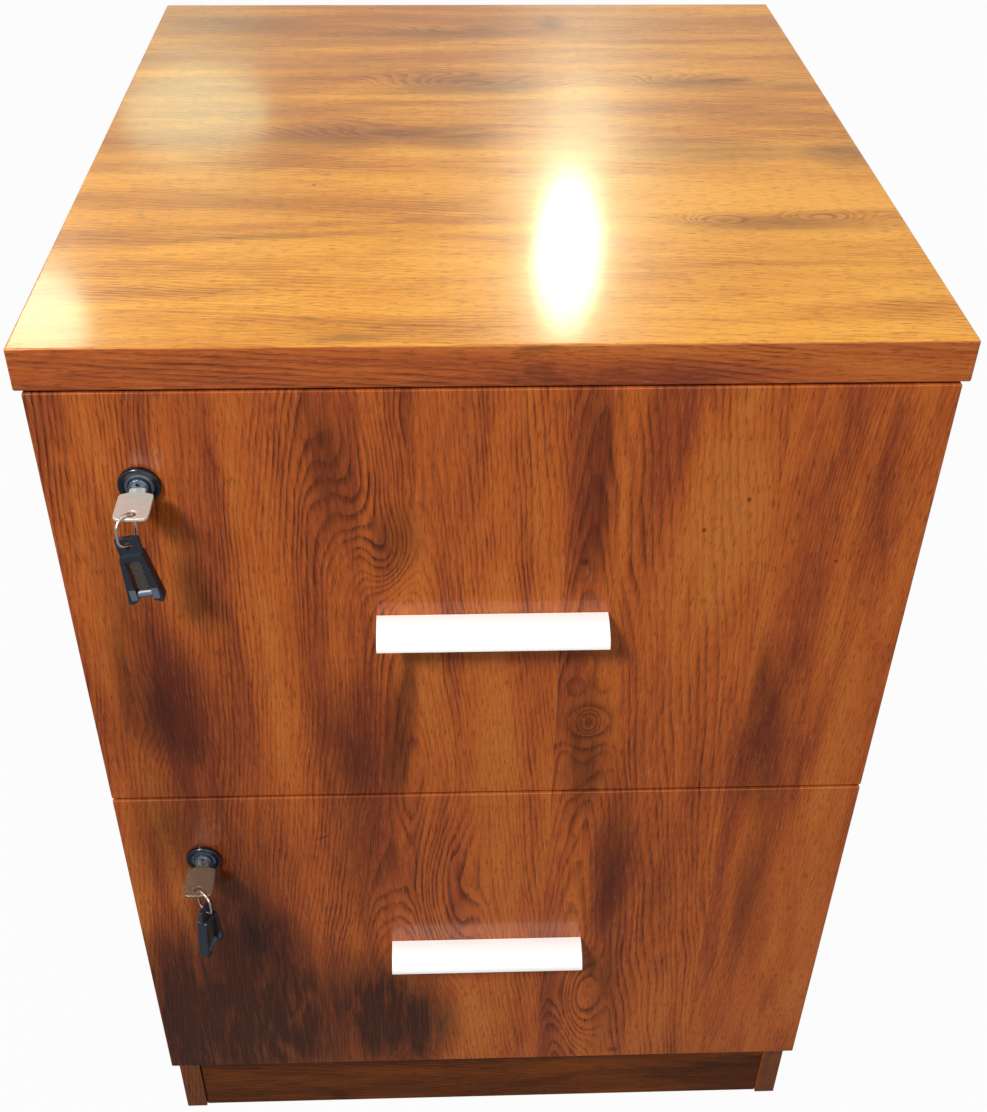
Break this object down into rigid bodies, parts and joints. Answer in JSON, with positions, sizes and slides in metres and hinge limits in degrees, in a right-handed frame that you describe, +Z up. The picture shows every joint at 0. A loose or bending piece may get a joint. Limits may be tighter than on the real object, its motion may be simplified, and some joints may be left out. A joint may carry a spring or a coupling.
{
  "type": "filing cabinet",
  "caption": "Low office filing cabinet in wood-grain laminate: two deep drawers on ball-bearing slides, each with a file frame, a curved pull handle and a cam lock with its keys.",
  "frame": {"origin": "on the floor under the centre of the whole cabinet, keys and handles included", "axes": "+Z up, the drawer fronts face -Y, +X is to the right seen from the front"},
  "size_m": [0.5, 0.6068, 0.735],
  "materials": {
    "laminate": "satin red-brown wood-grain melamine laminate",
    "box_board": "matt white melamine",
    "hardboard": "plain brown hardboard",
    "aluminium": "satin anodised silver",
    "zinc_steel": "bright zinc plated",
    "steel_strip": "plain zinc plated strip",
    "black_plastic": "semi-gloss black",
    "nickel": "nickel plated"
  },
  "bodies": {
    "cabinet": {"top_panel": "laminate", "left_side_panel": "laminate", "right_side_panel": "laminate", "bottom_panel": "laminate", "plinth_board": "laminate", "middle_rail": "laminate", "back_panel": "hardboard", "upper_left_slide_outer": "zinc_steel", "upper_right_slide_outer": "zinc_steel", "upper_strike_plate": "steel_strip", "lower_left_slide_outer": "zinc_steel", "lower_right_slide_outer": "zinc_steel", "lower_strike_plate": "steel_strip"},
    "upper_drawer": {"upper_drawer_front": "laminate", "upper_box_left_side": "box_board", "upper_box_right_side": "box_board", "upper_box_front": "box_board", "upper_box_back": "box_board", "upper_box_bottom": "hardboard", "upper_file_frame": "steel_strip", "upper_handle": "aluminium", "upper_lock_housing": "black_plastic", "upper_left_slide_inner": "zinc_steel", "upper_right_slide_inner": "zinc_steel"},
    "upper_slide_middles": {"upper_left_slide_middle": "zinc_steel", "upper_right_slide_middle": "zinc_steel"},
    "upper_outer_cages": {"upper_left_outer_ball_cage": "zinc_steel", "upper_right_outer_ball_cage": "zinc_steel"},
    "upper_inner_cages": {"upper_left_inner_ball_cage": "zinc_steel", "upper_right_inner_ball_cage": "zinc_steel"},
    "upper_lock": {"upper_lock_plug": "black_plastic", "upper_lock_cam": "zinc_steel"},
    "upper_lock_key": {"upper_key": "nickel"},
    "upper_ring": {"upper_key_ring": "nickel"},
    "upper_folding_key": {"upper_folding_key_handle": "black_plastic"},
    "upper_folding_blade": {"upper_folding_key_blade": "nickel"},
    "lower_drawer": {"lower_drawer_front": "laminate", "lower_box_left_side": "box_board", "lower_box_right_side": "box_board", "lower_box_front": "box_board", "lower_box_back": "box_board", "lower_box_bottom": "hardboard", "lower_file_frame": "steel_strip", "lower_handle": "aluminium", "lower_lock_housing": "black_plastic", "lower_left_slide_inner": "zinc_steel", "lower_right_slide_inner": "zinc_steel"},
    "lower_slide_middles": {"lower_left_slide_middle": "zinc_steel", "lower_right_slide_middle": "zinc_steel"},
    "lower_outer_cages": {"lower_left_outer_ball_cage": "zinc_steel", "lower_right_outer_ball_cage": "zinc_steel"},
    "lower_inner_cages": {"lower_left_inner_ball_cage": "zinc_steel", "lower_right_inner_ball_cage": "zinc_steel"},
    "lower_lock": {"lower_lock_plug": "black_plastic", "lower_lock_cam": "zinc_steel"},
    "lower_lock_key": {"lower_key": "nickel"},
    "lower_ring": {"lower_key_ring": "nickel"},
    "lower_folding_key": {"lower_folding_key_handle": "black_plastic"},
    "lower_folding_blade": {"lower_folding_key_blade": "nickel"}
  },
  "joints": [
    {"name": "upper_drawer_slide", "type": "slide", "parent": "cabinet", "child": "upper_drawer", "axis": [0, -1, 0], "range_m": [0, 0.5]},
    {"name": "upper_slide_middles_run", "type": "slide", "parent": "cabinet", "child": "upper_slide_middles", "axis": [0, -1, 0], "range_m": [0, 0.25]},
    {"name": "upper_outer_cages_run", "type": "slide", "parent": "cabinet", "child": "upper_outer_cages", "axis": [0, -1, 0], "range_m": [0, 0.125]},
    {"name": "upper_inner_cages_run", "type": "slide", "parent": "cabinet", "child": "upper_inner_cages", "axis": [0, -1, 0], "range_m": [0, 0.375]},
    {"name": "upper_lock_turn", "type": "hinge", "parent": "upper_drawer", "child": "upper_lock", "pos_m": [-0.193, -0.26148, 0.6505], "axis": [0, -1, 0], "range_deg": [0, 90]},
    {"name": "upper_key_pull", "type": "slide", "parent": "upper_lock", "child": "upper_lock_key", "axis": [0, -1, 0], "range_m": [0, 0.024]},
    {"name": "upper_ring_swing", "type": "hinge", "parent": "upper_lock_key", "child": "upper_ring", "pos_m": [-0.19599, -0.29344, 0.6463], "axis": [-0.7986, 0.6018, 0], "range_deg": [-15, 30]},
    {"name": "upper_folding_key_swing", "type": "hinge", "parent": "upper_ring", "child": "upper_folding_key", "pos_m": [-0.19599, -0.29344, 0.6338], "axis": [0, -1, 0], "range_deg": [-90, 0]},
    {"name": "upper_blade_unfold", "type": "hinge", "parent": "upper_folding_key", "child": "upper_folding_blade", "pos_m": [-0.19134, -0.29344, 0.60072], "axis": [0.9903, 0, 0.1392], "range_deg": [0, 180]},
    {"name": "lower_drawer_slide", "type": "slide", "parent": "cabinet", "child": "lower_drawer", "axis": [0, -1, 0], "range_m": [0, 0.5]},
    {"name": "lower_slide_middles_run", "type": "slide", "parent": "cabinet", "child": "lower_slide_middles", "axis": [0, -1, 0], "range_m": [0, 0.25]},
    {"name": "lower_outer_cages_run", "type": "slide", "parent": "cabinet", "child": "lower_outer_cages", "axis": [0, -1, 0], "range_m": [0, 0.125]},
    {"name": "lower_inner_cages_run", "type": "slide", "parent": "cabinet", "child": "lower_inner_cages", "axis": [0, -1, 0], "range_m": [0, 0.375]},
    {"name": "lower_lock_turn", "type": "hinge", "parent": "lower_drawer", "child": "lower_lock", "pos_m": [-0.193, -0.26148, 0.339], "axis": [0, -1, 0], "range_deg": [0, 90]},
    {"name": "lower_key_pull", "type": "slide", "parent": "lower_lock", "child": "lower_lock_key", "axis": [0, -1, 0], "range_m": [0, 0.024]},
    {"name": "lower_ring_swing", "type": "hinge", "parent": "lower_lock_key", "child": "lower_ring", "pos_m": [-0.18949, -0.29298, 0.3348], "axis": [-0.7071, -0.7071, 0], "range_deg": [-15, 30]},
    {"name": "lower_folding_key_swing", "type": "hinge", "parent": "lower_ring", "child": "lower_folding_key", "pos_m": [-0.18949, -0.29298, 0.3223], "axis": [0.9063, -0.4226, 0], "range_deg": [-20, 20]},
    {"name": "lower_blade_unfold", "type": "hinge", "parent": "lower_folding_key", "child": "lower_folding_blade", "pos_m": [-0.18949, -0.29298, 0.2889], "axis": [0.4226, 0.9063, 0], "range_deg": [0, 180]}
  ],
  "couplings": [
    {"joint": "upper_folding_key_swing", "follows": "upper_lock_turn", "ratio": -1},
    {"joint": "upper_slide_middles_run", "follows": "upper_drawer_slide", "ratio": 0.5},
    {"joint": "upper_outer_cages_run", "follows": "upper_drawer_slide", "ratio": 0.25},
    {"joint": "upper_inner_cages_run", "follows": "upper_drawer_slide", "ratio": 0.75},
    {"joint": "lower_slide_middles_run", "follows": "lower_drawer_slide", "ratio": 0.5},
    {"joint": "lower_outer_cages_run", "follows": "lower_drawer_slide", "ratio": 0.25},
    {"joint": "lower_inner_cages_run", "follows": "lower_drawer_slide", "ratio": 0.75}
  ]
}
